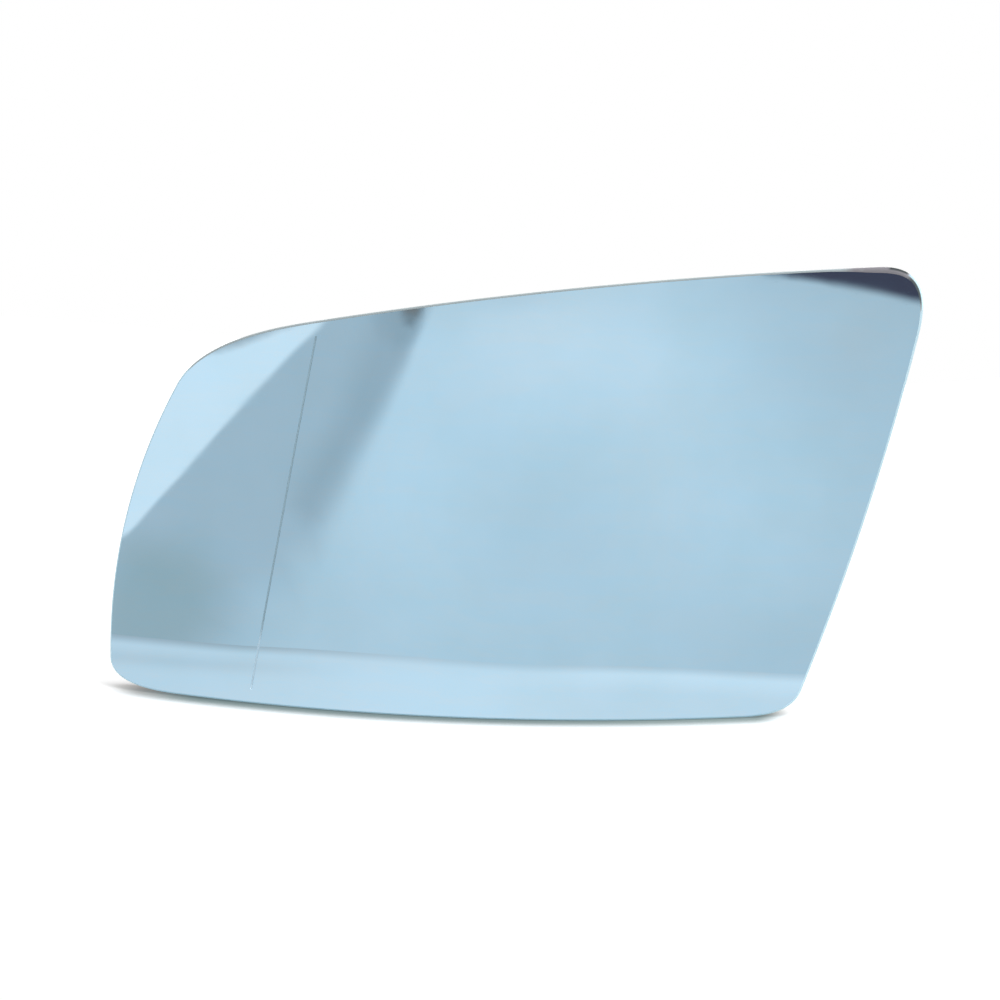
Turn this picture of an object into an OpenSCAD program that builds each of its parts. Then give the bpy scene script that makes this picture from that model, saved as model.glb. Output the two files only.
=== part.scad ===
// Heated door mirror glass for the left side of a car: curved, blue-tinted glass bonded to a moulded
// carrier that snaps onto the round disc of a mirror actuator.
// The front of the glass faces -Y, +X runs to the right as seen from the front, and +Z is up.
// The origin lies on the axis of the snap collar, halfway along the gripping land of its fingers.
// "Outer" is the side away from the car, which is -X, and "inner" is the side next to it.

/* [Glass outline] */
// Upper outer corner before rounding, across
upper_outer_x = -74; // [-80:0.5:-68]
// Upper outer corner before rounding, height
upper_outer_z = 34; // [30:0.5:38]
// Upper inner corner before rounding, across
upper_inner_x = 94.1; // [88:0.1:100]
// Upper inner corner before rounding, height
upper_inner_z = 53.1; // [50:0.1:56]
// Lower inner corner before rounding, across
lower_inner_x = 63; // [58:0.5:70]
// Lower inner corner before rounding, height
lower_inner_z = -50.1; // [-54:0.1:-47]
// Lower outer corner before rounding, across
lower_outer_x = -98; // [-104:0.5:-92]
// Lower outer corner before rounding, height
lower_outer_z = -48.5; // [-52:0.5:-45]
// How far the top edge bows out from a straight line
top_bulge = 3.3; // [1:0.1:6]
// How far the inner edge bows out from a straight line
inner_bulge = 2.4; // [1:0.1:5]
// How far the bottom edge bows out from a straight line
bottom_bulge = 3.7; // [1:0.1:6]
// How far the outer edge bows out from a straight line
outer_bulge = 7.1; // [4:0.1:9]

/* [Corner rounding] */
// Length of the outer edge taken by the upper outer corner
upper_outer_side_lead = 12.3; // [9:0.1:18]
// Length of the top edge taken by the upper outer corner
upper_outer_top_lead = 24.5; // [18:0.5:30]
// Length of the top edge taken by the upper inner corner
upper_inner_top_lead = 12.5; // [9:0.5:18]
// Length of the inner edge taken by the upper inner corner
upper_inner_side_lead = 16; // [12:0.5:20]
// Length of the inner edge taken by the lower inner corner
lower_inner_side_lead = 6; // [5:0.5:12]
// Length of the bottom edge taken by the lower inner corner
lower_inner_bottom_lead = 10.8; // [8:0.1:16]
// Length of the bottom edge taken by the lower outer corner
lower_outer_bottom_lead = 16; // [12:0.5:20]
// Length of the outer edge taken by the lower outer corner
lower_outer_side_lead = 6.8; // [5.5:0.1:12]

/* [Glass] */
// Thickness of the glass
glass_t = 2; // [1.6:0.1:3]
// How far the ground edge stands out from the rim of the face
edge_bulge = 0.45; // [0.3:0.05:1]
// Radius of the main, spherical part of the face
main_r = 1260; // [900:10:2000]
// Cubic fall-away of the face beyond the dividing line, in millionths of a millimetre per cubic mm
outer_gain = 3; // [0:0.5:6]
// Where the dividing line crosses the height of the collar's axis
line_x = -54; // [-62:0.5:-48]
// Lean of the dividing line from upright, its top towards the car, in degrees
line_slant = 11.2; // [5:0.1:16]
// Width of the engraved dividing line
line_w = 0.45; // [0.3:0.05:0.8]
// Depth of the engraved dividing line
line_depth = 0.1; // [0.06:0.02:0.2]
// Plain glass left above and below the dividing line
line_margin = 3.4; // [2:0.1:8]

/* [Bonded layers] */
// Glue line between the glass and the heater mat
glue_gap = 0.05; // [0.03:0.01:0.1]
// Thickness of the printed heater mat
heater_t = 0.3; // [0.2:0.05:0.5]
// Border of bare glass around the heater mat
heater_inset = 3; // [2:0.1:6]
// Thickness of the adhesive pad
adhesive_t = 0.6; // [0.4:0.1:1.2]
// Border left free around the adhesive pad
adhesive_inset = 2.4; // [1.8:0.1:6]

/* [Carrier] */
// Thickness of the carrier's web
web_t = 1.8; // [1.4:0.1:3]
// How far the carrier stays inside the edge of the glass
carrier_inset = 0.7; // [0.5:0.1:2]
// Width of the carrier's rim
rim_w = 1.6; // [1.2:0.1:3]
// Height of the rim above the web
rim_h = 1.5; // [1:0.1:3]
// Thickness of the ribs
rib_t = 1.2; // [0.8:0.1:2]
// Number of ribs that run out from the collar to the rim
rib_count = 18; // [8:1:24]
// Height of the ribs above the web where they leave the collar
rib_root_h = 4.8; // [3:0.1:5]
// Radius of the inner stiffening ring
near_ring_r = 43; // [38:0.5:46]
// Height of the inner stiffening ring above the web
near_ring_h = 4; // [2:0.1:4.5]
// Radius of the outer stiffening ring
far_ring_r = 70; // [62:1:76]
// Height of the outer stiffening ring above the web
far_ring_h = 2.2; // [1.5:0.1:2.6]

/* [Snap collar] */
// Radius inside the lips of the fingers, which grips behind the actuator disc
lip_r = 29.5; // [27:0.1:31]
// Length of the gripping land of the lips
lip_land = 2; // [1.5:0.1:3]
// How far the lips stand in from the collar wall
lip_depth = 1.5; // [1:0.1:2]
// Height of the sloping face under the lips
hook_ramp = 1; // [0.6:0.1:2]
// Height of the lead-in slope above the lips
lead_in = 1.2; // [0.8:0.1:2]
// Thickness of the collar wall
collar_wall = 1.8; // [1.4:0.1:2.4]
// Number of fingers
finger_count = 8; // [6:1:12]
// Width of the slots between the fingers
slot_w = 5; // [3:0.5:6]
// Height of unbroken collar wall above the seat, below the slots
finger_root = 1.5; // [1:0.1:2.5]
// Thickness of the actuator disc's rim between the seat and the lips
disc_t = 4.5; // [3:0.1:6]
// Height of the seat above the web
seat_h = 4; // [3:0.1:6]
// Inner radius of the seat
seat_in_r = 21; // [18:0.5:23]
// Width of the seat
seat_w = 6; // [4:0.5:6.5]
// Width of the two notches across the seat
notch_w = 6; // [4:0.5:8]
// Outer radius of the centre boss
boss_r = 6.5; // [5:0.5:9]
// Radius of the centre boss's recess
boss_recess_r = 4.5; // [2:0.5:7]
// Number of ribs inside the collar
hub_rib_count = 6; // [4:1:8]

/* [Retaining spring] */
// Diameter of the spring wire
wire_d = 1.6; // [1.2:0.1:2]
// Depth of the groove around the fingers that holds the wire
groove_depth = 0.5; // [0.3:0.1:0.8]
// Clearance between the wire and its groove
wire_clearance = 0.03; // [0.02:0.01:0.1]
// Angle left open between the ends of the wire
wire_gap_angle = 26; // [18:1:40]
// Bend radius at the ends of the wire, at its centre line
wire_bend_r = 2.4; // [1.8:0.1:4]
// Straight length of each end of the wire
wire_tail = 3.6; // [2:0.1:8]

/* [Heater terminals] */
// Distance of the terminals from the collar's axis, across
terminal_x = 55; // [53:0.5:60]
// Distance of each terminal above or below the collar's axis
terminal_z = 9.7; // [9:0.1:14]
// Width of the terminal blades
blade_w = 6.3; // [4.8:0.1:6.3]
// Thickness of the terminal metal
blade_t = 0.8; // [0.5:0.1:1]
// Height of the blades above the heater mat
blade_h = 10; // [8:0.5:12]
// Length of the terminals' flat bases
base_l = 9; // [8:0.5:11]
// Inside radius of the bend between base and blade
bend_r = 0.6; // [0.4:0.1:1]
// Radius of the locking hole in each blade
blade_hole_r = 0.8; // [0.5:0.1:1]
// Slant cut off each corner of the blades' tips
tip_cut = 1.2; // [0.6:0.1:1.6]
// Length of the windows in the carrier and the adhesive pad
window_l = 15; // [13:0.5:16]
// Height of the windows
window_w = 10; // [8.5:0.5:12]
// Radius of the windows' corners
window_r = 1.5; // [1:0.1:3]
// Wall of the raised frame around each window
frame_t = 1.2; // [1:0.1:2]
// Height of the raised frame above the web
frame_h = 2; // [1:0.1:3]
// Radius of the rivets' shanks
rivet_r = 0.95; // [0.7:0.05:1.2]
// Radius of the rivets' heads
rivet_head_r = 1.75; // [1.4:0.05:2.2]
// Height of the rivets' heads
rivet_head_h = 0.45; // [0.3:0.05:0.8]
// Radius of the hollow in the rivets
rivet_bore_r = 0.45; // [0.3:0.05:0.6]
// Clearance of the rivets in their holes, and of the terminals on the mat
terminal_clearance = 0.05; // [0.03:0.01:0.1]

/* [Hidden] */

// Depths of the layers behind the face of the glass
heater_front = glass_t + glue_gap;
heater_back = heater_front + heater_t;
adhesive_back = heater_back + adhesive_t;
web_back = adhesive_back + web_t;
rim_back = web_back + rim_h;
web_middle = adhesive_back + web_t / 2;
// Levels along the axis of the collar
land_start = -lip_land / 2;
land_end = lip_land / 2;
seat_y = land_start - hook_ramp - disc_t;
tip_y = land_end + lead_in;
standoff = web_back + seat_h - seat_y;
// Radii of the collar
collar_in_r = lip_r + lip_depth;
collar_out_r = collar_in_r + collar_wall;
seat_out_r = seat_in_r + seat_w;
wire_r = collar_out_r - groove_depth + wire_clearance + wire_d / 2;
// Small chamfers and root fillets of the moulding
moulded_chamfer = 0.5;
// How far a cutting solid runs past what it cuts
past = 1;
// Points on each edge and each rounded corner of the outline
edge_points = 9;
corner_points = 10;
// Steps of the spring wire round its ring and round each bend, and the sides of its section
wire_ring_steps = 56;
wire_bend_steps = 6;
wire_sides = 12;
wire_step = (360 - wire_gap_angle) / wire_ring_steps;
// The ring's corners stand out so that its flats clear the groove
wire_path_r = wire_r / cos(wire_step / 2);
// Rings of facets from the middle of the glass to its edge, and rows around the ground edge
glass_rings = 9;
ground_rows = 6;
// Stretch of the face's profile, either side of the axis, and the length of its facets
profile_half = 114;
profile_step = 12;

// Corner i lies at the start of edge i: top, inner, bottom and outer
corners = [[upper_outer_x, upper_outer_z], [upper_inner_x, upper_inner_z],
           [lower_inner_x, lower_inner_z], [lower_outer_x, lower_outer_z]];
bulges = [top_bulge, inner_bulge, bottom_bulge, outer_bulge];
leads_in = [upper_outer_side_lead, upper_inner_top_lead, lower_inner_side_lead, lower_outer_bottom_lead];
leads_out = [upper_outer_top_lead, upper_inner_side_lead, lower_inner_bottom_lead, lower_outer_side_lead];

function previous(i) = (i + 3) % 4;
function next(i) = (i + 1) % 4;
function chord(i) = corners[next(i)] - corners[i];
function edge_r(i) = (pow(norm(chord(i)) / 2, 2) + pow(bulges[i], 2)) / (2 * bulges[i]);
function edge_centre(i) =
    let (d = chord(i) / norm(chord(i)))
    (corners[i] + corners[next(i)]) / 2 - [-d[1], d[0]] * (edge_r(i) - bulges[i]);
function bearing(p) = atan2(p[1], p[0]);
function edge_start(i) = bearing(corners[i] - edge_centre(i));
function edge_end(i) = edge_start(i) - 2 * asin(norm(chord(i)) / (2 * edge_r(i)));
// Point and direction of travel on edge i, at an angle about the edge's centre
function on_edge(i, angle) =
    [edge_centre(i) + edge_r(i) * [cos(angle), sin(angle)], [sin(angle), -cos(angle)]];
function leave_angle(i) = edge_start(i) - leads_out[i] / edge_r(i) * 180 / PI;
function arrive_angle(i) = edge_end(i) + leads_in[next(i)] / edge_r(i) * 180 / PI;
// A rounded corner is a parabolic blend, tangent to both of its edges
function corner_blend(i) =
    let (a = on_edge(previous(i), arrive_angle(previous(i))),
         b = on_edge(i, leave_angle(i)),
         m = a[0] + a[1] * cross(b[0] - a[0], b[1]) / cross(a[1], b[1]))
    [for (k = [0 : corner_points])
        let (w = k / corner_points, d = (1 - w) * (m - a[0]) + w * (b[0] - m))
        [pow(1 - w, 2) * a[0] + 2 * w * (1 - w) * m + pow(w, 2) * b[0], d / norm(d)]];
function edge_run(i) =
    [for (k = [1 : edge_points - 1])
        on_edge(i, leave_angle(i) + (arrive_angle(i) - leave_angle(i)) * k / edge_points)];
outline_run = [for (i = [0 : 3]) each concat(corner_blend(i), edge_run(i))];
function outline(inset) = [for (p = outline_run) p[0] + inset * [p[1][1], -p[1][0]]];

// The face is turned about an axis across the glass, square to the dividing line. Its radius there is
// that of a sphere, and beyond the dividing line it falls away with the cube of the distance.
line_u = line_x * cos(line_slant);
function across(x, z) = x * cos(line_slant) - z * sin(line_slant);
function along(x, z) = x * sin(line_slant) + z * cos(line_slant);
function turned_r(u) = sqrt(main_r * main_r - u * u) - outer_gain * 1e-6 * pow(max(0, line_u - u), 3);
function layer_y(x, z, depth) =
    main_r - standoff - sqrt(pow(turned_r(across(x, z)) - depth, 2) - pow(along(x, z), 2));
// Reach of the layers up and down, past the outline, as an angle at the face's centre of curvature
profile_sweep = 2 * asin((max([for (p = outline_run) abs(along(p[0][0], p[0][1]))]) + past) / main_r);

// Distance from the axis to the outline, along a ray
function reach(angle, inset) =
    let (d = [cos(angle), sin(angle)], p = outline(inset), n = len(p))
    [for (k = [0 : n - 1])
        let (e = p[(k + 1) % n] - p[k], f = cross(d, e))
        if (abs(f) > 1e-9 && cross(p[k], e) / f > 0 && cross(p[k], d) / f >= 0
            && cross(p[k], d) / f < 1) cross(p[k], e) / f][0];

// Solid between two depths behind the face, with the curvature of the glass
module curved_layer(depth_a, depth_b) {
    us = [-profile_half : profile_step : profile_half];
    front = [for (u = us) [turned_r(u) - main_r - depth_a, u]];
    back = [for (u = us) [turned_r(-u) - main_r - depth_b, -u]];
    translate([0, main_r - standoff, 0])
        rotate([0, line_slant, 0])
            rotate([0, 90, 0])
                rotate([0, 0, -90 - profile_sweep / 2])
                    rotate_extrude(angle = profile_sweep, $fn = 1440)
                        translate([main_r, 0]) polygon(concat(front, back));
}

// Straight prism through the part, along Y
module prism(points) {
    translate([0, tip_y + past, 0]) rotate([90, 0, 0])
        linear_extrude(tip_y + standoff + 2 * past) polygon(points);
}

module outline_layer(depth_a, depth_b, inset) {
    intersection() {
        curved_layer(depth_a, depth_b);
        prism(outline(inset));
    }
}

// Puts its children at a point of a layer, with +Y square to the layer and away from the glass
module on_layer(x, z, depth) {
    tip = asin(z / main_r);
    translate([x, layer_y(x, z, depth), z])
        rotate([-tip, 0, asin(x / main_r / cos(tip))]) children();
}

module at_terminals() {
    for (side = [-1, 1]) on_layer(terminal_x, side * terminal_z, heater_back) children();
}

// Rounded rectangle through the web at each terminal
module window_cut(grow, low, high) {
    half_l = window_l / 2 + grow;
    half_w = window_w / 2 + grow;
    r = window_r + grow;
    translate([0, high, 0]) rotate([90, 0, 0]) linear_extrude(high - low) union() {
        square([2 * half_l, 2 * half_w - 2 * r], center = true);
        square([2 * half_l - 2 * r, 2 * half_w], center = true);
        for (sx = [-1, 1], sy = [-1, 1])
            translate([sx * (half_l - r), sy * (half_w - r)]) circle(r, $fn = 32);
    }
}

module mirror_glass() {
    inner_edge = outline(edge_bulge);
    n = len(inner_edge);
    face_rows = [for (k = [1 : glass_rings])
        [for (p = inner_edge) let (q = p * k / glass_rings) [q[0], layer_y(q[0], q[1], 0), q[1]]]];
    edge_rows = [for (k = [1 : ground_rows - 1])
        let (a = 180 * k / ground_rows, depth = glass_t / 2 * (1 - cos(a)))
        [for (p = outline(edge_bulge * (1 - sin(a)))) [p[0], layer_y(p[0], p[1], depth), p[1]]]];
    back_rows = [for (k = [glass_rings : -1 : 1])
        [for (p = inner_edge) let (q = p * k / glass_rings) [q[0], layer_y(q[0], q[1], glass_t), q[1]]]];
    rows = concat(face_rows, edge_rows, back_rows);
    last = len(rows) * n;
    points = concat([for (row = rows) each row], [[0, layer_y(0, 0, 0), 0], [0, layer_y(0, 0, glass_t), 0]]);
    bands = [for (r = [0 : len(rows) - 2], k = [0 : n - 1])
        let (a = r * n + k, b = r * n + (k + 1) % n)
        each [[a, b, b + n], [a, b + n, a + n]]];
    middle = [for (k = [0 : n - 1]) [last, (k + 1) % n, k]];
    rear = [for (k = [0 : n - 1]) [last + 1, last - n + k, last - n + (k + 1) % n]];
    color([0.66, 0.79, 0.88]) difference() {
        polyhedron(points, concat(middle, bands, rear));
        engraved_line();
    }
}

// The dividing line is a shallow groove that stops short of the edge at both ends
module engraved_line() {
    slant = 90 - line_slant;
    foot = [line_x, 0];
    up = [cos(slant), sin(slant)];
    half = [up[1], -up[0]] * line_w / 2;
    high = edge_along_line(1);
    low = edge_along_line(-1);
    intersection() {
        curved_layer(-past, line_depth);
        prism([foot + up * high + half, foot + up * low + half,
               foot + up * low - half, foot + up * high - half]);
    }
}

// Distance along the dividing line from its foot to its end
function edge_along_line(side) =
    let (d = side * [sin(line_slant), cos(line_slant)], o = [line_x, 0], p = outline(line_margin), n = len(p))
    side * [for (k = [0 : n - 1])
        let (e = p[(k + 1) % n] - p[k], q = p[k] - o, f = cross(d, e))
        if (abs(f) > 1e-9 && cross(q, e) / f > 0 && cross(q, d) / f >= 0 && cross(q, d) / f < 1)
            cross(q, e) / f][0];

module heater_mat() {
    color([0.16, 0.17, 0.19]) difference() {
        outline_layer(heater_front, heater_back, heater_inset);
        at_terminals() rivet_hole(-past, past);
    }
}

module rivet_hole(low, high) {
    translate([rivet_x(), high, 0]) rotate([90, 0, 0])
        cylinder(high - low, r = rivet_r + terminal_clearance, $fn = 32);
}

// The rivet sits halfway along the flat part of the terminal's base
function rivet_x() = (bend_r + blade_t + base_l) / 2 - base_l / 2;

module adhesive_pad() {
    color([0.2, 0.2, 0.2]) difference() {
        outline_layer(heater_back, adhesive_back, adhesive_inset);
        at_terminals() window_cut(0, -past, adhesive_t + past);
    }
}

module carrier() {
    tallest = max(frame_h, rib_root_h, near_ring_h, far_ring_h);
    color([0.1, 0.1, 0.11]) difference() {
        union() {
            difference() {
                outline_layer(adhesive_back, rim_back, carrier_inset);
                outline_layer(web_back, rim_back + past, carrier_inset + rim_w);
            }
            stiffening_ring(near_ring_r, near_ring_h);
            stiffening_ring(far_ring_r, far_ring_h);
            for (k = [0 : rib_count - 1]) wing_rib(360 * k / rib_count);
            for (k = [0 : hub_rib_count - 1]) hub_rib(360 * (k + 0.5) / hub_rib_count);
            snap_collar();
            seat_ring();
            centre_boss();
            at_terminals() window_cut(frame_t, adhesive_t + web_t / 2, adhesive_t + web_t + frame_h);
        }
        at_terminals() window_cut(0, adhesive_t - past, adhesive_t + web_t + tallest + past);
    }
}

// Ring about the collar's axis that keeps one height above the web
module stiffening_ring(r, h) {
    intersection() {
        curved_layer(web_middle, web_back + h);
        prism(outline(carrier_inset + rim_w / 2));
        translate([0, tip_y, 0]) rotate([90, 0, 0]) difference() {
            cylinder(tip_y + standoff, r = r + rib_t / 2, $fn = 128);
            translate([0, 0, -past])
                cylinder(tip_y + standoff + 2 * past, r = r - rib_t / 2, $fn = 128);
        }
    }
}

// Upright web in a plane through the collar's axis, from its side view
module radial_plane(angle, points) {
    rotate([0, -angle, 0]) linear_extrude(rib_t, center = true) polygon(points);
}

module wing_rib(angle) {
    start = collar_out_r - collar_wall / 2;
    end = reach(angle, carrier_inset + rim_w / 2) - rib_t / 2;
    steps = 4;
    foot = [for (k = [0 : steps])
        let (r = start + (end - start) * k / steps)
        [r, layer_y(r * cos(angle), r * sin(angle), web_middle)]];
    top_end = layer_y(end * cos(angle), end * sin(angle), web_back + rim_h * 0.8);
    top_start = layer_y(start * cos(angle), start * sin(angle), web_back + rib_root_h);
    radial_plane(angle, concat(foot, [[end, top_end], [start, top_start]]));
}

module hub_rib(angle) {
    start = (boss_r + boss_recess_r) / 2;
    end = seat_in_r + seat_w / 2;
    foot = layer_y(end, 0, web_middle);
    radial_plane(angle, [[start, foot], [end, foot], [end, seat_y - 2 * moulded_chamfer],
                         [start, seat_y - 4 * moulded_chamfer]]);
}

// Solid of revolution about the collar's axis, from points given as radius and level
module turned(points) {
    rotate([-90, 0, 0]) rotate_extrude($fn = 128) polygon([for (p = points) [p[0], p[1]]]);
}

module snap_collar() {
    foot = layer_y(collar_in_r, 0, web_middle);
    root = layer_y(collar_out_r, 0, web_back);
    groove_half = wire_d / 2 + wire_clearance;
    difference() {
        turned([[collar_in_r, foot], [collar_out_r + moulded_chamfer, foot],
                [collar_out_r + moulded_chamfer, root], [collar_out_r, root + 2 * moulded_chamfer],
                [collar_out_r, -groove_half], [collar_out_r - groove_depth, -groove_half],
                [collar_out_r - groove_depth, groove_half], [collar_out_r, groove_half],
                [collar_out_r, tip_y - moulded_chamfer], [collar_out_r - moulded_chamfer, tip_y],
                [collar_in_r - moulded_chamfer / 2, tip_y], [lip_r, land_end], [lip_r, land_start],
                [collar_in_r, land_start - hook_ramp]]);
        for (k = [0 : finger_count - 1]) rotate([0, 360 * (k + 0.5) / finger_count, 0]) finger_slot();
    }
}

// Slot between two fingers, with a round foot that keeps it from tearing
module finger_slot() {
    floor_y = seat_y + finger_root + slot_w / 2;
    outside = collar_out_r + past;
    inside = lip_r - past;
    translate([inside, floor_y, -slot_w / 2]) cube([outside - inside, tip_y + past - floor_y, slot_w]);
    translate([inside, floor_y, 0]) rotate([0, 90, 0]) cylinder(outside - inside, r = slot_w / 2, $fn = 32);
}

// Flat land that the actuator disc rests on, with two notches that its keys fit into
module seat_ring() {
    foot = layer_y(seat_in_r, 0, web_middle);
    difference() {
        turned([[seat_in_r, foot], [seat_out_r, foot], [seat_out_r, seat_y - moulded_chamfer],
                [seat_out_r - moulded_chamfer, seat_y], [seat_in_r + moulded_chamfer, seat_y],
                [seat_in_r, seat_y - moulded_chamfer]]);
        for (turn = [0, 180]) rotate([0, turn, 0])
            translate([seat_in_r - past, seat_y - seat_h / 2, -notch_w / 2])
                cube([seat_w + 2 * past, seat_h, notch_w]);
    }
}

module centre_boss() {
    foot = layer_y(0, 0, web_middle);
    top = seat_y - seat_h / 4;
    turned([[0, foot], [boss_r, foot], [boss_r, top - moulded_chamfer], [boss_r - moulded_chamfer, top],
            [boss_recess_r, top], [boss_recess_r, top - seat_h / 4], [0, top - seat_h / 2]]);
}

// Open ring of round wire whose ends turn outwards, so that a tool can spread them.
// Its path lies in the plane of the groove, as points and directions of travel, across and up.
function ring_path() =
    [for (k = [0 : wire_ring_steps])
        let (a = wire_gap_angle / 2 + wire_step * k)
        [wire_path_r * [sin(a), cos(a)], [cos(a), -sin(a)]]];

// From the tip of a straight tail, round the quarter bend, to just before the ring
function end_path() =
    let (first = wire_gap_angle / 2, x = [cos(first), -sin(first)], z = [sin(first), cos(first)],
         centre = (wire_path_r + wire_bend_r) * z, corner = centre - wire_bend_r * x)
    concat([[corner + wire_tail * z, -z], [corner + (wire_tail - wire_d / 4) * z, -z]],
           [for (k = [0 : wire_bend_steps - 1])
               let (b = 90 * k / wire_bend_steps)
               [centre - wire_bend_r * (cos(b) * x + sin(b) * z), sin(b) * x - cos(b) * z]]);

function turned_back(path) =
    [for (k = [len(path) - 1 : -1 : 0])
        [[-path[k][0][0], path[k][0][1]], [path[k][1][0], -path[k][1][1]]]];

module retaining_spring() {
    path = concat(end_path(), ring_path(), turned_back(end_path()));
    n = len(path);
    points = [for (i = [0 : n - 1], k = [0 : wire_sides - 1])
        let (r = (i == 0 || i == n - 1) ? wire_d / 4 : wire_d / 2, a = 360 * k / wire_sides,
             side = [path[i][1][1], -path[i][1][0]] * r * cos(a))
        [path[i][0][0] + side[0], r * sin(a), path[i][0][1] + side[1]]];
    bands = [for (i = [0 : n - 2], k = [0 : wire_sides - 1])
        let (a = i * wire_sides + k, b = i * wire_sides + (k + 1) % wire_sides)
        each [[a, b + wire_sides, b], [a, a + wire_sides, b + wire_sides]]];
    first_end = [for (k = [0 : wire_sides - 1]) k];
    last_end = [for (k = [wire_sides - 1 : -1 : 0]) (n - 1) * wire_sides + k];
    color([0.72, 0.73, 0.75]) polyhedron(points, concat([first_end, last_end], bands));
}

// Blade terminal: a flat base on the heater mat, a bend and an upright blade
module terminal() {
    arc_steps = 4;
    outer_r = bend_r + blade_t;
    shift = -base_l / 2;
    inner_arc = [for (k = [0 : arc_steps]) let (a = 180 + 90 * k / arc_steps)
        [shift + outer_r + bend_r * cos(a), outer_r + bend_r * sin(a)]];
    outer_arc = [for (k = [arc_steps : -1 : 0]) let (a = 180 + 90 * k / arc_steps)
        [shift + outer_r + outer_r * cos(a), outer_r + outer_r * sin(a)]];
    color([0.83, 0.8, 0.72]) translate([0, terminal_clearance, 0]) difference() {
        linear_extrude(blade_w, center = true)
            polygon(concat([[shift + blade_t, blade_h]], inner_arc,
                           [[shift + base_l, blade_t], [shift + base_l, 0]], outer_arc,
                           [[shift, blade_h]]));
        translate([shift - past, blade_h * 0.62, 0]) rotate([0, 90, 0])
            cylinder(blade_t + 2 * past, r = blade_hole_r, $fn = 32);
        rivet_hole(-past, blade_t + past);
        for (side = [-1, 1]) translate([shift, blade_h, side * blade_w / 2]) rotate([45, 0, 0])
            cube([4 * blade_t, tip_cut * sqrt(2), tip_cut * sqrt(2)], center = true);
    }
}

module terminal_upper() {
    on_layer(terminal_x, terminal_z, heater_back) terminal();
}

module terminal_lower() {
    on_layer(terminal_x, -terminal_z, heater_back) terminal();
}

// Hollow rivet through the terminal's base and the heater mat
module terminal_rivets() {
    top = terminal_clearance + blade_t;
    color([0.75, 0.66, 0.45]) at_terminals() translate([rivet_x(), 0, 0])
        turned([[rivet_bore_r, -heater_t], [rivet_r, -heater_t], [rivet_r, top], [rivet_head_r, top],
                [rivet_head_r, top + rivet_head_h / 2], [rivet_head_r - rivet_head_h / 2, top + rivet_head_h],
                [rivet_bore_r, top + rivet_head_h]]);
}

mirror_glass();
heater_mat();
adhesive_pad();
carrier();
retaining_spring();
terminal_upper();
terminal_lower();
terminal_rivets();
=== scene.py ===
"""Looks of a heated, curved, blue-tinted door mirror glass that stands on its lower edge."""
import math

import bmesh
import bpy
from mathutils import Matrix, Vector, geometry


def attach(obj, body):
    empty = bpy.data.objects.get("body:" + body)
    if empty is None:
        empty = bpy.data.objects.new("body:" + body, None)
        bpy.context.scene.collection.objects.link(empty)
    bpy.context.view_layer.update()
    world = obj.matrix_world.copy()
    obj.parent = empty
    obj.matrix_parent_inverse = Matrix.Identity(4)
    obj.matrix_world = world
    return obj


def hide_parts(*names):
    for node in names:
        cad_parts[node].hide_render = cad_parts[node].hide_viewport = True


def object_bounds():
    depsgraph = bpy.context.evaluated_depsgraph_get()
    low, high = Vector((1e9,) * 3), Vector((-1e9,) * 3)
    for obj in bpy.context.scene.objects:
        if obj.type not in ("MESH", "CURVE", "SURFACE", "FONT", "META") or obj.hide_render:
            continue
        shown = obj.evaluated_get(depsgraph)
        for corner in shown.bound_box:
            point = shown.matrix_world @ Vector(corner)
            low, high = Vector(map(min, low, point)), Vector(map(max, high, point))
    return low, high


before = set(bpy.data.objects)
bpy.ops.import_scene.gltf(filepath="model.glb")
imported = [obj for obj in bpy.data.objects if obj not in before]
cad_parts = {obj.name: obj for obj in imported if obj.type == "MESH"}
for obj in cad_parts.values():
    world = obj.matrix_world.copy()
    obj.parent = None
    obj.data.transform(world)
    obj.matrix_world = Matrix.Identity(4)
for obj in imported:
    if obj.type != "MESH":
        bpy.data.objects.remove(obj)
cad_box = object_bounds()

MM = 0.001

# Sizes shared with the part's source, in mm

# Corners before rounding, across and up: upper outer, upper inner, lower inner, lower outer.
# Corner i lies at the start of edge i: top, inner, bottom, outer.
CORNERS = ((-74, 34), (94.1, 53.1), (63, -50.1), (-98, -48.5))
BULGES = (3.3, 2.4, 3.7, 7.1)
LEADS_IN = (12.3, 12.5, 6, 16)
LEADS_OUT = (24.5, 16, 10.8, 6.8)

GLASS_T = 2
EDGE_BULGE = 0.45
MAIN_R = 1260
OUTER_GAIN = 3e-6
LINE_X = -54
LINE_SLANT = math.radians(11.2)
LINE_W = 0.45
LINE_DEPTH = 0.1
LINE_MARGIN = 3.4
STANDOFF = 15.25

WIRE_D = 1.6
WIRE_R = 33.13
WIRE_GAP = math.radians(26)
WIRE_BEND_R = 2.4
WIRE_TAIL = 3.6

TERMINAL_X = 55
TERMINAL_Z = 9.7
TERMINAL_BASE_L = 9
TERMINAL_BLADE_W = 6.3

# The ground edge round the upper inner corner, in mm, which the part's source leaves to the looks

# How much wider it is, where, and over what reach
WIDE_BULGE = 0.85
WIDE_CORNER = (84, 52.5)
WIDE_REACH = 6
# Where it is painted a darker, pinkish grey as shade, and the distances at which the grey starts to fade and
# is gone
SHADE_GREY_CORNER = (82, -12.5, 52.5)
SHADE_GREY_REACH = (5.5, 9.5)
# The outer half of the edge is painted dark as shade at the corner. On the shoulder past it, the inner half
# is painted dark as shade and the outer half is painted bright as a highlight. The reaches are the distances
# at which each starts to fade and is gone.
DARK_CORNER = (86, 52)
DARK_CORNER_REACH = (1.9, 3)
SHOULDER = (90.2, 47.7)
DARK_SHOULDER_REACH = (2.2, 5.5)
BRIGHT_SHOULDER_REACH = (3, 6)
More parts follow.
